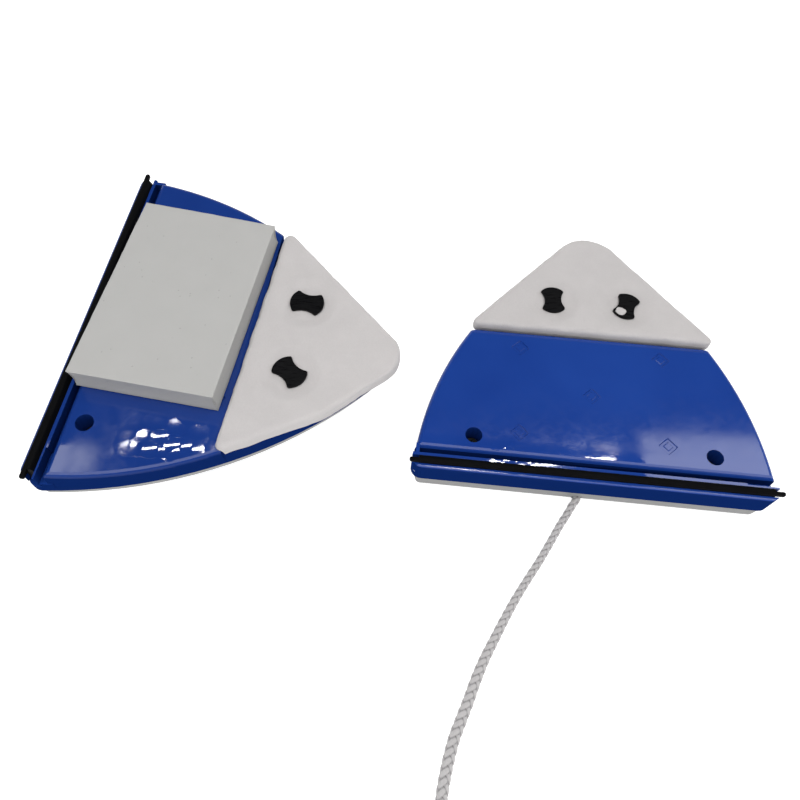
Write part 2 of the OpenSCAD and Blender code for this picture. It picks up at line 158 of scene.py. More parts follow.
def spread(seed, scale, p):
    """Smooth noise from -1 to 1 at a place, with features of about scale millimetres."""
    return noise.noise(Vector((p[0] / scale + seed * 17.3, p[1] / scale - seed * 9.1, p[2] / scale + seed)))


# ---- materials ----

class Finish:
    """One procedural material on a Principled shader."""

    def __init__(self, name, **sockets):
        self.material = bpy.data.materials.new(name)
        self.material.use_nodes = True
        self.tree = self.material.node_tree
        self.shader = self.tree.nodes["Principled BSDF"]
        self.height = None
        for socket, value in sockets.items():
            self.shader.inputs[socket.replace("_", " ")].default_value = value

    def node(self, kind, settings=None, **inputs):
        made = self.tree.nodes.new("ShaderNode" + kind)
        for key, value in (settings or {}).items():
            setattr(made, key, value)
        for name, value in inputs.items():
            socket = made.inputs[name.replace("_", " ")]
            if isinstance(value, bpy.types.NodeSocket):
                self.tree.links.new(value, socket)
            else:
                socket.default_value = value
        return made

    def link(self, socket, output):
        self.tree.links.new(output, self.shader.inputs[socket])

    def place(self, half=None):
        """Object coordinates in millimetres, in a half's local frame if one is given."""
        coordinates = self.node("TexCoord").outputs["Object"]
        mapping = self.node("Mapping", Vector=coordinates)
        mapping.inputs["Scale"].default_value = (1 / MM,) * 3
        if half:
            back = Matrix.Rotation(-half.turn, 3, "Z")
            mapping.inputs["Rotation"].default_value = (0, 0, -half.turn)
            mapping.inputs["Location"].default_value = -(back @ half.origin) / MM
        return mapping.outputs["Vector"]

    def noise(self, place, size, detail=2.0, rough=0.5, distortion=0.0):
        """Noise with features of about size millimetres."""
        return self.node("TexNoise", Vector=place, Scale=1 / size, Detail=detail,
                         Roughness=rough, Distortion=distortion).outputs["Fac"]

    def ramp(self, value, low, high, out_low, out_high):
        """A straight ramp from low..high to out_low..out_high."""
        return self.node("MapRange", Value=value, **{"From Min": low, "From Max": high,
                         "To Min": out_low, "To Max": out_high}).outputs["Result"]

    def math(self, operation, a, b=0.0):
        made = self.node("Math", {"operation": operation})
        for socket, value in zip(made.inputs, (a, b)):
            if isinstance(value, bpy.types.NodeSocket):
                self.tree.links.new(value, socket)
            else:
                socket.default_value = value
        return made.outputs["Value"]

    def mix(self, factor, a, b):
        made = self.node("Mix", {"data_type": "RGBA"})
        for index, value in ((0, factor), (6, a), (7, b)):
            if isinstance(value, bpy.types.NodeSocket):
                self.tree.links.new(value, made.inputs[index])
            else:
                made.inputs[index].default_value = value
        return made.outputs[2]

    def bump(self, height, depth):
        """Adds a bump of depth millimetres."""
        inputs = {"Height": height, "Distance": depth * MM, "Strength": 1.0}
        if self.height:
            inputs["Normal"] = self.height
        self.height = self.node("Bump", **inputs).outputs["Normal"]
        self.link("Normal", self.height)


def grey(value):
    return (value, value, value, 1)


def shade(colour, tone):
    return (*(tone * c for c in colour), 1)


BLUE_LOW = (0.0076, 0.036, 0.218)
BLUE_HIGH = (0.0108, 0.046, 0.255)
SIDE_TONE = 0.5
TOP_GLOSS = 0.42
# The polished band along the face's blade side, in the half's local Y
RIM_Y = 0.5
RIM_NEAR, RIM_FAR = 4.5, 9.0
DENT_SIZE = 7.0
DENT_DEPTH = 0.24


def blue_plastic(half, tone, wavy_at, wavy_r):
    """Glossy moulded plastic, wavy around one spot, where a lamp breaks up in it.

    Surfaces that don't face up are darker and duller, which is light painted into the colour.
    The tone scales the whole colour of a half: painted light or painted shade on one plastic.
    """
    f = Finish(f"{half.side}_blue_plastic", IOR=1.5)
    place = f.place(half)
    broad = f.noise(place, 60, 2)
    face = f.mix(f.ramp(broad, 0.3, 0.7, 0, 1), shade(BLUE_LOW, tone), shade(BLUE_HIGH, tone))
    normal = f.node("NewGeometry").outputs["Normal"]
    upward = f.node("SeparateXYZ", Vector=normal).outputs["Z"]
    f.link("Base Color", f.mix(f.ramp(upward, 0.1, 0.8, 0, 1), shade(BLUE_LOW, SIDE_TONE), face))
    f.link("Specular IOR Level", f.ramp(upward, 0.2, 0.9, 0.0, TOP_GLOSS))
    across = f.node("SeparateXYZ", Vector=place).outputs["Y"]
    from_rim = f.math("ABSOLUTE", f.math("SUBTRACT", across, RIM_Y))
    at_rim = f.ramp(from_rim, RIM_NEAR, RIM_FAR, 1, 0)
    spot = f.node("VectorMath", {"operation": "DISTANCE"})
    f.tree.links.new(place, spot.inputs[0])
    spot.inputs[1].default_value = (*wavy_at, FACE_Z)
    near = f.ramp(spot.outputs["Value"], wavy_r * 0.4, wavy_r, 1, 0)
    clean = f.math("MAXIMUM", at_rim, near)
    scuffs = f.ramp(f.noise(place, 5, 5, 0.62, 0.8), 0.35, 0.8, 0.06, 0.13)
    f.link("Roughness", f.math("MULTIPLY", scuffs, f.ramp(clean, 0, 1, 1.0, 0.35)))
    f.bump(f.noise(place, 42, 1), 0.10)
    dents = f.node("TexVoronoi", Vector=place, Scale=1 / DENT_SIZE).outputs["Distance"]
    f.bump(f.math("MULTIPLY", f.math("POWER", dents, 2.0), near), DENT_DEPTH)
    f.bump(f.math("MULTIPLY", f.noise(place, 3.4, 1), at_rim), 0.008)
    f.bump(f.noise(place, 0.9, 3), 0.0012)
    return f.material


def white_plastic(name, tone):
    f = Finish(name, Roughness=0.42, IOR=1.48, Specular_IOR_Level=0.2)
    place = f.place()
    f.link("Base Color", f.mix(f.noise(place, 25, 3), grey(tone * 0.92), grey(tone * 1.04)))
    f.bump(f.noise(place, 0.6, 2), 0.006)
    f.bump(f.noise(place, 22, 1), 0.08)
    return f.material


def black_plastic():
    f = Finish("black_plastic", IOR=1.5, Specular_IOR_Level=0.12)
    place = f.place()
    dark, light = (0.0018, 0.0018, 0.0024, 1), (0.0045, 0.0045, 0.0052, 1)
    f.link("Base Color", f.mix(f.noise(place, 5, 3), dark, light))
    streaks = f.node("Mapping", Vector=place, Rotation=(0, 0, 0.5), Scale=(0.25, 2.2, 1.0))
    worn = f.noise(streaks.outputs["Vector"], 1.6, 4, 0.6)
    f.link("Roughness", f.ramp(worn, 0.35, 0.7, 0.22, 0.5))
    f.bump(worn, 0.03)
    f.bump(f.noise(place, 0.8, 3), 0.01)
    return f.material


def blade_rubber():
    f = Finish("blade_rubber", IOR=1.5, Specular_IOR_Level=0.04)
    place = f.place()
    dark, light = (0.0014, 0.0014, 0.0018, 1), (0.0032, 0.0032, 0.0038, 1)
    f.link("Base Color", f.mix(f.noise(place, 12, 4), dark, light))
    f.link("Roughness", f.ramp(f.noise(place, 7, 4), 0.3, 0.7, 0.45, 0.65))
    f.bump(f.noise(place, 0.5, 3), 0.008)
    return f.material


def felt_finish():
    """Needled felt: short fibres in all directions, and small pits where the needles went in."""
    f = Finish("felt", Roughness=1.0, IOR=1.4, Specular_IOR_Level=0.05)
    f.shader.inputs["Sheen Weight"].default_value = 0.08
    f.shader.inputs["Sheen Roughness"].default_value = 0.6
    place = f.place()
    fibres = f.noise(place, 0.5, 6, 0.7, 2.0)
    pits = f.node("TexVoronoi", Vector=place, Scale=1 / 2.1, Randomness=1.0).outputs["Distance"]
    cloud = f.noise(place, 14, 3)
    tone = f.math("ADD", f.math("MULTIPLY", fibres, 0.8), f.math("MULTIPLY", cloud, 0.2))
    dark, light = (0.470, 0.452, 0.450, 1), (0.555, 0.532, 0.528, 1)
    f.link("Base Color", f.mix(f.ramp(tone, 0.34, 0.64, 0, 1), dark, light))
    f.bump(f.noise(place, 3.2, 3), 0.07)
    f.bump(f.ramp(pits, 0.0, 0.35, 0, 1), 0.04)
    f.bump(fibres, 0.14)
    return f.material


def foam_finish():
    """Closed-cell foam, whose cut cells show as fine pits."""
    f = Finish("foam", Roughness=0.9, IOR=1.4, Specular_IOR_Level=0.08)
    place = f.place()
    cells = f.node("TexVoronoi", Vector=place, Scale=1 / 0.6).outputs["Distance"]
    pits = f.node("TexVoronoi", Vector=place, Scale=1 / 5.5).outputs["Distance"]
    pit_and_painted_shade = f.ramp(pits, 0.03, 0.09, 0, 1)
    cloud = f.noise(place, 16, 4)
    skin = f.mix(cloud, (0.405, 0.402, 0.392, 1), (0.432, 0.429, 0.419, 1))
    # The pits are painted darker than the foam's skin: painted shade in the recesses.
    f.link("Base Color", f.mix(pit_and_painted_shade, (0.33, 0.33, 0.325, 1), skin))
    f.bump(pit_and_painted_shade, 0.12)
    f.bump(cells, 0.03)
    f.bump(f.noise(place, 0.35, 3), 0.02)
    return f.material


def metal(name, tone, roughness):
    f = Finish(name, Metallic=1.0)
    place = f.place()
    f.link("Base Color", f.mix(f.noise(place, 4, 3), grey(tone * 0.88), grey(tone)))
    f.link("Roughness", f.ramp(f.noise(place, 0.8, 3), 0.3, 0.7, roughness * 0.8, roughness * 1.3))
    f.bump(f.noise(place, 0.4, 2), 0.004)
    return f.material


def rope_finish():
    """The attribute read below is 1 on top of a strand and 0 in the gaps between strands; the gaps are
    painted dark, as painted shade.
    """
    f = Finish("rope_fibre", Roughness=0.7, IOR=1.45, Specular_IOR_Level=0.3)
    f.shader.inputs["Sheen Weight"].default_value = 0.2
    crown_and_gap_shade = f.node("Attribute", {"attribute_name": "crown_and_gap_shade"}).outputs["Fac"]
    place = f.place()
    dirt = f.ramp(f.noise(place, 0.5, 4), 0.2, 0.8, 0.8, 1.1)
    # Dark in the gaps between strands and light on their tops: painted shade.
    tone = f.math("MULTIPLY", f.ramp(crown_and_gap_shade, 0, 0.6, 0.0, 1.0), dirt)
    f.link("Base Color", f.mix(tone, (0.11, 0.106, 0.106, 1), (0.50, 0.485, 0.487, 1)))
    f.bump(f.noise(place, 0.28, 3), 0.05)
    return f.material


def strap_finish():
    f = Finish("tie_strap", Roughness=0.8, IOR=1.45)
    place = f.place()
    weave = f.node("TexWave", {"wave_type": "BANDS", "bands_direction": "Z"}, Vector=place, Scale=0.9,
                   Distortion=0.3).outputs["Fac"]
    f.link("Base Color", f.mix(weave, (0.012, 0.012, 0.014, 1), (0.035, 0.035, 0.038, 1)))
    f.bump(weave, 0.15)
    return f.material


# The tones 1.1 and 0.85 paint the outer half lighter and the inner half darker: painted light and shade on
# one blue plastic.
BLUE = {"outer": blue_plastic(OUTER, 1.1, (-45, 0), 12),
        "inner": blue_plastic(INNER, 0.85, (73, 54), 27)}
# The back shell's white plastic is darkened to a grey of 0.23: painted shade on a white part.
SHADED_SHELL_WHITE = white_plastic("white_plastic", 0.23)
RING_WHITE = white_plastic("ring_plastic", 0.55)
BLACK = black_plastic()
RUBBER = blade_rubber()
FELT = felt_finish()
FOAM = foam_finish()
STEEL = metal("steel", 0.62, 0.32)
BLACKENED = metal("blackened_steel", 0.03, 0.4)
MAGNET = metal("magnet", 0.78, 0.14)
ROPE = rope_finish()
STRAP = strap_finish()


# ---- safety rope: the route repeats the CAD model's ----

ROPE_D = 4.3
ROPE_R = ROPE_D / 2
ROPE_EXIT_X = -3.0
ROPE_EXIT_Z = 5.0
ROPE_START_Y = [4.0, -3.0, -10.0]
# From the shell's edge to the coil, in metres of the row frame
ROPE_ROUTE = [
    (0.0866, -0.0805, 0.0034), (0.0832, -0.0858, 0.0024), (0.0794, -0.0912, 0.00215),
    (0.0730, -0.1013, 0.00215), (0.0665, -0.1113, 0.00215), (0.0590, -0.1220, 0.00215),
    (0.0518, -0.1328, 0.00215), (0.0456, -0.1432, 0.00215), (0.0398, -0.1536, 0.00215),
    (0.0342, -0.1638, 0.00215), (0.0295, -0.1740, 0.00215), (0.0254, -0.1840, 0.00215),
    (0.0214, -0.1930, 0.00215), (0.0176, -0.2020, 0.00215), (0.0140, -0.2140, 0.00215),
    (0.0114, -0.2260, 0.00215), (0.0104, -0.2390, 0.00215), (0.0103, -0.2580, 0.00215)]
# The coil's middle, its middle diameter, the turns side by side, and the degrees that the rope
# takes to change from one turn to the next
COIL_AT = (-21.65, -266.0)
COIL_D = 51.0
COIL_WIDE = 4
SHIFT_ZONE = 50.0
COIL_POINT_STEP = 5
# From the coil's upper outer turn into the ring's neck, measured from the coil's middle
END_ROUTE = [
    (0.6, -32.9, 6.3), (-7.4, -34.0, 5.4), (-15.4, -34.2, 4.4), (-23.4, -33.4, 3.6),
    (-30.4, -31.0, 3.4), (-37.0, -27.3, 3.4)]
LEAVE_ANGLE = 75.0
STRANDS = 4
BRAID_PITCH = 4.5
BRAID_DEPTH = 0.42
BRAID_SIDES = 28
BRAID_STEP = 0.45
BRAID_LIFT = 0.08
# The hollow braid lies flatter along a part of its way to the coil
FLAT_MORE = 0.38
FLAT_FROM, FLAT_GROW = 60, 95
FLAT_TO, FLAT_SHRINK = 182, 35


def coil_radius(turn):
    return COIL_D / 2 + ((COIL_WIDE - 1) / 2 - turn) * ROPE_D


def coil_points():
    """Clockwise turns: the lower layer winds inward, then climbs, and the upper one winds outward."""
    low, high = ROPE_R, ROPE_R + ROPE_D
    lower_end = 360 * COIL_WIDE
    upper_end = lower_end + LEAVE_ANGLE + 360 * (COIL_WIDE - 1)
    points = []
    for angle in range(0, int(upper_end) + 1, COIL_POINT_STEP):
        if angle < lower_end:
            turn, past = divmod(angle, 360)
            shift = smoothstep((past - 360 + SHIFT_ZONE) / SHIFT_ZONE) if turn < COIL_WIDE - 1 else 0
            radius = coil_radius(turn + shift)
            climb = smoothstep((angle - lower_end + 2 * SHIFT_ZONE) / SHIFT_ZONE)
            z = low + (high - low) * climb
        else:
            turn, past = divmod(angle - lower_end - LEAVE_ANGLE, 360)
            shift = smoothstep(past / SHIFT_ZONE) if turn >= 0 else 0
            radius = coil_radius(COIL_WIDE - 1 - max(turn, 0) - shift)
            z = high
        a = math.radians(-angle)
        x, y = COIL_AT[0] + radius * math.cos(a), COIL_AT[1] + radius * math.sin(a)
        points.append(Vector((x, y, z)))
    return points


def catmull(a, b, c, d, t):
    bend, twist = 2 * a - 5 * b + 4 * c - d, 3 * b - a - 3 * c + d
    return (2 * b + (c - a) * t + bend * t * t + twist * t ** 3) / 2


def resample(points, step):
    """Evenly spaced points, step apart, along a smooth line through the given ones."""
    fine = []
    for i in range(len(points) - 1):
        a, b = points[max(i - 1, 0)], points[i]
        c, d = points[i + 1], points[min(i + 2, len(points) - 1)]
        count = max(2, math.ceil((c - b).length / step) * 3)
        fine += [catmull(a, b, c, d, k / count) for k in range(count)]
    fine.append(points[-1])
    line, left = [fine[0]], step
    for a, b in zip(fine, fine[1:]):
        span = (b - a).length
        while span >= left:
            a = a + (b - a) * (left / span)
            line.append(a)
            span -= left
            left = step
        left -= span
    return line


def rope_line():
    """The rope's middle line in millimetres of the row frame."""
    start = [OUTER.at(ROPE_EXIT_X, y, ROPE_EXIT_Z) / MM for y in ROPE_START_Y]
    route = [Vector(p) / MM for p in ROPE_ROUTE]
    end = [Vector((COIL_AT[0] + x, COIL_AT[1] + y, z)) for x, y, z in END_ROUTE]
    return start + route + coil_points() + end


def braid(around, along):
    """How high the plaited surface is here, from 0 in a gap to 1 on a strand's back."""
    a = STRANDS * around + along / BRAID_PITCH
    b = STRANDS * around - along / BRAID_PITCH
    i, j = math.floor(a), math.floor(b)
    which = (i + j) % 4
    if which < 2:
        across, run = a - i, (which + b - j) / 2
    else:
        across, run = b - j, (which - 2 + a - i) / 2
    return math.sin(math.pi * across) ** 0.7 * (0.35 + 0.65 * math.sin(math.pi * run) ** 0.6)


def flattening(along):
    """How much wider the hollow braid lies at this distance from its start, in millimetres."""
    grows = smoothstep((along - FLAT_FROM) / FLAT_GROW)
    return FLAT_MORE * grows * (1 - smoothstep((along - FLAT_TO) / FLAT_SHRINK))


def make_rope():
    line = resample(rope_line(), BRAID_STEP)
    rings, crowns_and_gap_shade = [], []
    for r, here in enumerate(line):
        way = (line[min(r + 1, len(line) - 1)] - line[max(r - 1, 0)]).normalized()
        side = Vector((way.y, -way.x, 0)).normalized()
        up = side.cross(way)
        wide = 1 + flattening(r * BRAID_STEP)
        here = here + (wide - 1) * ROPE_R * side
        ring = []
        for k in range(BRAID_SIDES):
            around = k / BRAID_SIDES
            crown_and_gap_shade = braid(around, r * BRAID_STEP)
            radius = ROPE_R - BRAID_DEPTH * (1 - crown_and_gap_shade) + BRAID_LIFT
            turn = math.tau * around
            ring.append((here + radius * (math.cos(turn) * wide * side + math.sin(turn) * up)) * MM)
            crowns_and_gap_shade.append(crown_and_gap_shade)
        rings.append(ring)
    rope = mesh_piece("safety_rope", *loft(rings), ROPE)
    # The strand height also darkens the gaps in the rope's material: painted shade.
    rope.data.attributes.new("crown_and_gap_shade", "FLOAT", "POINT").data.foreach_set("value", crowns_and_gap_shade)
    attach(rope, "outer_half")
    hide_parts("rope", "rope_coil", "rope_end")


# ---- felt pads ----

PAD_CIRCLES = {
    "outer": [(-65.2, 84, 3), (66.8, 84, 3), (0, 131.1, 21.2)],
    "inner": [(-62.8, 84.6, 4), (65.5, 79.2, 3.4), (31, 116.5, 13), (3, 142, 14.4)]}
FACE_DEPTH = 79.0
SOFT_GAP = 0.3
PAD_EDGE_R = 2.4
PAD_EDGE_STEPS = 7
PAD_FOOT_H = 0.5
PAD_RINGS = 64
PAD_TRIM = 0.35
CIRCLE_POINTS = 48
OUTLINE_STEP = 1.3
DISH_DEPTH = 1.42
DISH_R = 9.2
DISH_RIM_R = 17.0
STEM_HOLE_R = 3.8
HOLE_SIDES = 32


def hull(points):
    """Convex hull, counterclockwise."""
    points = sorted(points)

    def chain(sequence):
        line = []
        for p in sequence:
            while len(line) > 1 and ((line[-1][0] - line[-2][0]) * (p[1] - line[-2][1])
                                     - (line[-1][1] - line[-2][1]) * (p[0] - line[-2][0])) <= 0:
                line.pop()
            line.append(p)
        return line[:-1]

    return chain(points) + chain(reversed(points))


def pad_outline(circles):
    """The outline round the circles, in evenly spaced points with their outward normals."""
    angles = [math.tau * k / CIRCLE_POINTS for k in range(CIRCLE_POINTS)]
    corners = hull([(x + r * math.cos(a), y + r * math.sin(a)) for x, y, r in circles for a in angles])
    loop = [Vector((x, y, 0)) for x, y in corners]
    spans = [(b - a).length for a, b in zip(loop, loop[1:] + loop[:1])]
    count = round(sum(spans) / OUTLINE_STEP)
    line, k, past = [], 0, 0.0
    for i in range(count):
        along = i * sum(spans) / count
        while past + spans[k] < along:
            past += spans[k]
            k += 1
        line.append(loop[k].lerp(loop[(k + 1) % len(loop)], (along - past) / spans[k]))
    rounded = []
    for k in range(count):
        rounded.append((line[k - 1] + 2 * line[k] + line[(k + 1) % count]) / 4)
    normals = []
    for k in range(len(rounded)):
        way = (rounded[(k + 1) % len(rounded)] - rounded[k - 1]).normalized()
        normals.append(Vector((way.y, -way.x, 0)))
    return rounded, normals


def pad_bottom(y):
    """The shelf, or the face's edge where the pad lies over it."""
    return SHELF_Z + 0.05 + (FACE_Z + SOFT_GAP - SHELF_Z) * smoothstep((FACE_DEPTH + 0.9 - y) / 0.6)


def dish(half, p):
    """How far a turn button presses the felt down here."""
    depth = 0
    for side in (-1, 1):
        r = math.hypot(p.x - side * half.button_x, p.y - BUTTON_Y)
        depth = max(depth, 1 - smoothstep((r - DISH_R) / (DISH_RIM_R - DISH_R)))
    return DISH_DEPTH * depth


def make_pad(half, seed):
    line, normals = pad_outline(PAD_CIRCLES[half.side])
    n = len(line)
    middle = sum(line, Vector()) / n
    cut = [0.45 * spread(seed, 11, p) + 0.2 * spread(seed + 3, 3.5, p) for p in line]

    def ring(inset, z_of, shrink=1.0):
        made = []
        for p, out, wave in zip(line, normals, cut):
            q = p + out * (wave - inset - PAD_TRIM)
            q = middle + (q - middle) * shrink
            made.append(Vector((q.x, q.y, z_of(q))))
        return made

    def top(q):
        waves = ((0.16, 0, 16), (0.09, 5, 4.5), (0.05, 9, 2))
        swell = sum(height * spread(seed + more, scale, q) for height, more, scale in waves)
        return PAD_TOP_Z - dish(half, q) + swell

    def bottom(q):
        return pad_bottom(q.y)

    def side_at(t):
        def side(q):
            low = bottom(q) + PAD_FOOT_H
            return low + (top(q) - PAD_EDGE_R - low) * t
        return side

    rings = [ring(PAD_EDGE_R, bottom, s) for s in (0.05, 0.2, 0.4, 0.6, 0.8, 0.9, 0.96, 1.0)]
    rings += [ring(d, bottom) for d in (1.2, 0.5)]
    rings.append(ring(0.1, side_at(0)))
    for t in (0.2, 0.4, 0.6, 0.8, 1.0):
        rings.append(ring(-0.25 * math.sin(math.pi * t) + 0.1 * (1 - t), side_at(t)))
    for k in range(1, PAD_EDGE_STEPS + 1):
        a = math.pi / 2 * k / PAD_EDGE_STEPS
        drop = PAD_EDGE_R * (1 - math.sin(a))
        rings.append(ring(PAD_EDGE_R * (1 - math.cos(a)), lambda q: top(q) - drop))
    for k in range(1, PAD_RINGS):
        rings.append(ring(PAD_EDGE_R, top, 1 - k / PAD_RINGS))
    points, faces = loft([[half.at(*p) for p in r] for r in rings])
    pad = mesh_piece(f"{half.side}_pad", points, faces, FELT)
    for side in (-1, 1):
        x = side * half.button_x
        circle = [(x + STEM_HOLE_R * math.cos(math.tau * k / HOLE_SIDES),
                   BUTTON_Y + STEM_HOLE_R * math.sin(math.tau * k / HOLE_SIDES)) for k in range(HOLE_SIDES)]
        walls = [[half.at(*p, z) for p in circle] for z in (SHELF_Z - 2, PAD_TOP_Z + 2)]
        cutter = mesh_piece("cutter", *loft(walls))
        hole = pad.modifiers.new("hole", "BOOLEAN")
        hole.object = cutter
        hole.operation = "DIFFERENCE"
        hole.solver = "EXACT"
        settle(pad)
        bpy.data.objects.remove(cutter)
    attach(pad, f"{half.side}_half")
    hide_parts(f"{half.side}_felt_pad")


def settle(piece):
    """Applies a piece's modifiers to its mesh."""
    bpy.context.view_layer.update()
    done = bpy.data.meshes.new_from_object(piece.evaluated_get(bpy.context.evaluated_depsgraph_get()))
    piece.modifiers.clear()
    piece.data = done


# Measured from the button's axis, and its size
TUFT_AT = (-3.9, -4.6)
TUFT_SIZE = (3.7, 3.3, 1.3)
TUFT_LIFT = 0.75
TUFT_RINGS, TUFT_SIDES = 15, 36


def make_tuft():
    """A torn flap of felt that lies on the corner of the outer half's right button."""
    rings = []
    for i in range(TUFT_RINGS):
        b = math.pi * (i + 0.5) / TUFT_RINGS - math.pi / 2
        ring = []
        for k in range(TUFT_SIDES):
            a = math.tau * k / TUFT_SIDES
            p = Vector((math.cos(a) * math.cos(b), math.sin(a) * math.cos(b), math.sin(b)))
            grow = 1 + 0.28 * spread(31, 0.7, p) + 0.12 * spread(37, 0.25, p)
            ring.append((OUTER.button_x + TUFT_AT[0] + p.x * grow * TUFT_SIZE[0] / 1.25,
                         BUTTON_Y + TUFT_AT[1] + p.y * grow * TUFT_SIZE[1] / 1.25,
                         PAD_TOP_Z + TUFT_LIFT + p.z * grow * TUFT_SIZE[2] / 2))
        rings.append([OUTER.at(*p) for p in ring])
    tuft = mesh_piece("felt_tuft", *loft(rings), FELT)
    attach(tuft, "outer_right_button")


# ---- foam block ----

FOAM_TOP = [(46.2, -0.9), (48.4, 72.6), (-60.4, 78.2), (-65.0, 4.6)]
FOAM_BOTTOM = [(45.4, -1.0), (47.7, 72.6), (-61.8, 77.9), (-65.2, 4.2)]
FOAM_Z = (31.85, 46.55)
FOAM_SIZE = (110, 74, 14.8)
FOAM_CELLS = (64, 44, 10)
FOAM_HOLLOW = 1.1
FOAM_EDGE_R = 0.45
# A rounded edge cuts this part of its radius off each side of the corner
ROUND_CUT = 0.29


def make_foam():
    """A knife-cut block: flat faces, crisp edges and slightly hollow sides."""
    nx, ny, nz = FOAM_CELLS

    def between(a, b, t):
        return (a[0] + (b[0] - a[0]) * t, a[1] + (b[1] - a[1]) * t)

    def corner_mix(corners, u, v):
        return between(between(corners[3], corners[0], u), between(corners[2], corners[1], u), v)

    def even(k, n, length):
        """Place k of n even steps, but a tight pair at both ends for the rounded edge."""
        r = FOAM_EDGE_R / length
        steps = [0, r] + [r + (1 - 2 * r) * i / (n - 2) for i in range(1, n - 2)] + [1 - r, 1]
        return steps[k]

    def place(i, j, k):
        u, v, w = (even(*step) for step in zip((i, j, k), FOAM_CELLS, FOAM_SIZE))
        low, high = corner_mix(FOAM_BOTTOM, u, v), corner_mix(FOAM_TOP, u, v)
        x, y = between(low, high, w)
        z = FOAM_Z[0] + (FOAM_Z[1] - FOAM_Z[0]) * w
        hollow = FOAM_HOLLOW * math.sin(math.pi * w)
        edge = FOAM_EDGE_R * ROUND_CUT
        on = [(i == 0) - (i == nx), (j == 0) - (j == ny), (k == 0) - (k == nz)]
        x += on[0] * hollow
        y += on[1] * hollow
        if sum(map(abs, on)) > 1:
            x, y, z = x + on[0] * edge, y + on[1] * edge, z + on[2] * edge
        p = (x, y, z)
        ripple = 0.10 * spread(51, 22, p) + 0.05 * spread(53, 5, p)
        return INNER.at(x + on[0] * ripple, y + on[1] * ripple, z + min(on[2], 0) * ripple)

    index, points = {}, []

    def point(i, j, k):
        if (i, j, k) not in index:
            index[i, j, k] = len(points)
            points.append(place(i, j, k))
        return index[i, j, k]

    def quad(axis, level, a, b):
        """A face of the block's side where one axis stands at level; a and b count the other two."""
        corners = []
        for p, q in ((a, b), (a + 1, b), (a + 1, b + 1), (a, b + 1)):
            at = [p, q]
            at.insert(axis, level)
            corners.append(point(*at))
        return corners

    faces = []
    for axis in range(3):
        across, up = (n for other, n in enumerate(FOAM_CELLS) if other != axis)
        for level in (0, FOAM_CELLS[axis]):
            faces += [quad(axis, level, a, b) for a in range(across) for b in range(up)]
    foam = mesh_piece("foam_spacer", points, faces, FOAM, sharp=60)
    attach(foam, "spacer")
    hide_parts("spacer_block")


# ---- blades ----

# The CAD model's blade: half its body's and its lip's length, and its profile's Y and Z
BLADE_BODY_X = 93.0
LIP_X = 98.0
SLOT_FLOOR_Z = FACE_Z - 10.5
FOOT_TOP_Z = SLOT_FLOOR_Z + 2.3
BLADE_FRONT, BLADE_BACK = -9.4, -4.8
FOOT_OUT = 1.1
LIP_Z = FACE_Z + 2.2
LIP_FRONT, LIP_BACK = -9.5, -5.9
TIP_BACK = -7.2
TIP_H = 2.4
TIP_ROUND = 1.1
BLADE_STEPS = 124


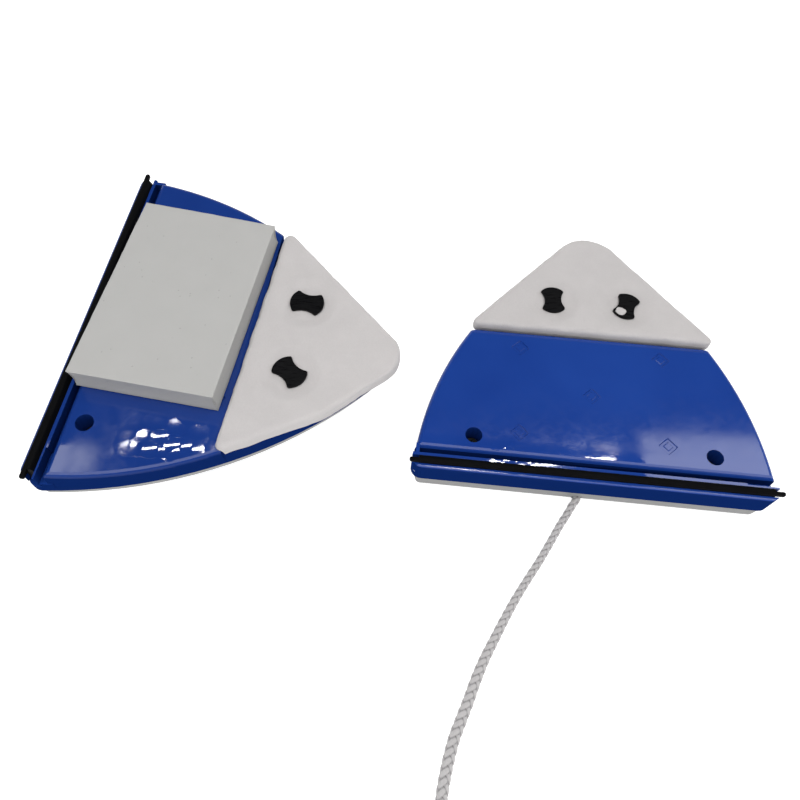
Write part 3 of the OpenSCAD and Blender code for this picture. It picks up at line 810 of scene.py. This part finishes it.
def make_blade(half, seed):
    """A rubber strip with a foot: the foot and body end short of the lip's thin tips."""
    body = [(BLADE_FRONT - FOOT_OUT, SLOT_FLOOR_Z + 0.1), (BLADE_BACK + FOOT_OUT, SLOT_FLOOR_Z + 0.1),
            (BLADE_BACK + FOOT_OUT, FOOT_TOP_Z), (BLADE_BACK, FOOT_TOP_Z), (BLADE_BACK, RAIL_TOP_Z - 2),
            (BLADE_BACK, RAIL_TOP_Z + 0.2), (LIP_BACK + 0.1, LIP_Z - 0.7), (LIP_BACK - 0.1, LIP_Z - 0.25),
            (LIP_BACK - 0.5, LIP_Z), (LIP_FRONT + 0.5, LIP_Z), (LIP_FRONT + 0.1, LIP_Z - 0.25),
            (LIP_FRONT - 0.1, LIP_Z - 0.7), (BLADE_FRONT, RAIL_TOP_Z + 0.2), (BLADE_FRONT, RAIL_TOP_Z - 2),
            (BLADE_FRONT, FOOT_TOP_Z), (BLADE_FRONT - FOOT_OUT, FOOT_TOP_Z)]
    low = LIP_Z - TIP_H
    tip = [(LIP_FRONT + 0.5, low), (TIP_BACK - 0.5, low), (TIP_BACK - 0.2, low + 0.1),
           (TIP_BACK, low + 0.3), (TIP_BACK, low + 0.6), (TIP_BACK, low + 1.0), (TIP_BACK, LIP_Z - 0.6),
           (TIP_BACK - 0.1, LIP_Z - 0.25), (TIP_BACK - 0.5, LIP_Z), (LIP_FRONT + 0.5, LIP_Z),
           (LIP_FRONT + 0.1, LIP_Z - 0.25), (LIP_FRONT, LIP_Z - 0.7), (LIP_FRONT, low + 1.0),
           (LIP_FRONT, low + 0.6), (LIP_FRONT, low + 0.3), (LIP_FRONT + 0.2, low + 0.1)]
    middle = ((LIP_FRONT + TIP_BACK) / 2, LIP_Z - 0.9)

    def drawn(profile, x, shrink=1.0):
        wave = 0.12 * spread(seed, 26, (x, 0, 0)) + 0.05 * spread(seed + 2, 6, (x, 0, 0))
        made = []
        for y, z in profile:
            y, z = middle[0] + (y - middle[0]) * shrink, middle[1] + (z - middle[1]) * shrink
            free = smoothstep((z - RAIL_TOP_Z) / (LIP_Z - RAIL_TOP_Z))
            made.append(half.at(x, y + wave * free, z + 0.5 * wave * free))
        return made

    rings = []
    for side in (-1, 1):
        end = [drawn(tip, side * LIP_X, 0.25), drawn(tip, side * (LIP_X - 0.15), 0.65),
               drawn(tip, side * (LIP_X - 0.5), 0.88), drawn(tip, side * (LIP_X - TIP_ROUND))]
        straight = LIP_X - TIP_ROUND - 0.1 - BLADE_BODY_X
        end += [drawn(tip, side * (LIP_X - TIP_ROUND - straight * t)) for t in (0.5, 1.0)]
        end.append(drawn(body, side * BLADE_BODY_X))
        rings.append(end)
    span = [drawn(body, BLADE_BODY_X * (2 * k / BLADE_STEPS - 1)) for k in range(1, BLADE_STEPS)]
    blade = mesh_piece(f"{half.side}_blade_strip", *loft(rings[0] + span + rings[1][::-1]), RUBBER, sharp=40)
    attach(blade, f"{half.side}_blade")
    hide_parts(f"{half.side}_squeegee_blade")


# ---- moulded parts whose edges are rounded ----

EDGE_R = 0.35
EDGE_ANGLE = 35.0
WELD_M = 1e-6


def round_edges(node):
    """Softens the sharp edges of a CAD node by modifiers, which leave its own mesh as it is."""
    weld = NODES[node].modifiers.new("weld", "WELD")
    weld.merge_threshold = WELD_M
    bevel = NODES[node].modifiers.new("bevel", "BEVEL")
    bevel.width = EDGE_R * MM
    bevel.segments = 2
    bevel.limit_method = "ANGLE"
    bevel.angle_limit = math.radians(EDGE_ANGLE)
    bevel.harden_normals = True


# ---- CAD nodes that stay ----

def paint(node, material):
    data = NODES[node].data
    data.materials.clear()
    data.materials.append(material)


def paint_nodes():
    for half in (OUTER, INNER):
        side = half.side
        paint(f"{side}_face_plate", BLUE[side])
        paint(f"{side}_back_shell", SHADED_SHELL_WHITE)
        paint(f"{side}_button_left", BLACK)
        paint(f"{side}_button_right", BLACK)
        paint(f"{side}_yoke_plate", STEEL)
        paint(f"{side}_case_screws", BLACKENED)
        for i in range(1, 6):
            paint(f"{side}_magnet_{i}", MAGNET)
    paint("grip_handle", BLUE["inner"])
    paint("handle_screws", STEEL)
    paint("rope_grommet", BLACK)
    paint("rope_knot", ROPE)
    paint("coil_tie", STRAP)
    paint("pull_ring", RING_WHITE)


# ---- floor and light, in metres ----

LIGHT_Z = 1.23
STRIP_TURN = 5.6
# The sky's brightness up to a low direction and from a high one, by the direction's Z
HORIZON = 1.05
ZENITH = 0.05
SKY_LOW, SKY_HIGH = 0.15, 0.7


def area_light(name, at, size, power):
    """A rectangular lamp that shines straight down."""
    lamp = bpy.data.lights.new(name, "AREA")
    lamp.shape = "RECTANGLE"
    lamp.size, lamp.size_y = size
    lamp.energy = power
    light = bpy.data.objects.new(name, lamp)
    bpy.context.scene.collection.objects.link(light)
    light.location = at
    return light


def make_lights():
    strip = area_light("right_strip", (0.315, 0.468, LIGHT_Z), (0.46, 0.008), 1.4)
    strip.rotation_euler.z = math.radians(STRIP_TURN)
    area_light("left_strip", (-0.49, 0.46, LIGHT_Z), (0.17, 0.022), 1.0)
    area_light("right_panel", (0.80, 0.46, LIGHT_Z), (0.36, 0.20), 1.1)
    area_light("left_panel", (-0.706, 0.43, LIGHT_Z), (0.12, 0.08), 0.14)
    area_light("softbox", (0.0, -0.45, 1.35), (2.2, 1.3), 24)
    world = bpy.data.worlds.new("world")
    bpy.context.scene.world = world
    world.use_nodes = True
    tree = world.node_tree
    background = tree.nodes["Background"]
    direction = tree.nodes.new("ShaderNodeTexCoord").outputs["Generated"]
    split = tree.nodes.new("ShaderNodeSeparateXYZ")
    tree.links.new(direction, split.inputs[0])
    ramp = tree.nodes.new("ShaderNodeMapRange")
    ramp.interpolation_type = "SMOOTHSTEP"
    ends = {"From Min": SKY_LOW, "From Max": SKY_HIGH, "To Min": HORIZON, "To Max": ZENITH}
    for socket, value in ends.items():
        ramp.inputs[socket].default_value = value
    tree.links.new(split.outputs["Z"], ramp.inputs["Value"])
    tree.links.new(ramp.outputs["Result"], background.inputs["Strength"])
    background.inputs["Color"].default_value = (1, 1, 1, 1)
    bpy.context.scene.view_settings.view_transform = "Standard"


FLOOR_HALF = 8.0


def make_floor():
    f = Finish("floor", Roughness=0.8, Specular_IOR_Level=0.05, Emission_Strength=0.8)
    f.shader.inputs["Emission Color"].default_value = (1, 1, 1, 1)
    f.link("Base Color", f.mix(f.noise(f.place(), 400, 2), grey(0.53), grey(0.56)))
    s = FLOOR_HALF
    corners = [(-s, -s, 0), (s, -s, 0), (s, s, 0), (-s, s, 0)]
    floor = mesh_piece("floor", corners, [(0, 1, 2, 3)], f.material)


make_camera()
make_rope()
for number, half in enumerate((OUTER, INNER)):
    make_pad(half, 11 + 20 * number)
    make_blade(half, 71 + 20 * number)
make_tuft()
make_foam()
paint_nodes()
for side in ("outer", "inner"):
    for part in ("button_left", "button_right", "face_plate"):
        round_edges(f"{side}_{part}")
make_floor()
make_lights()
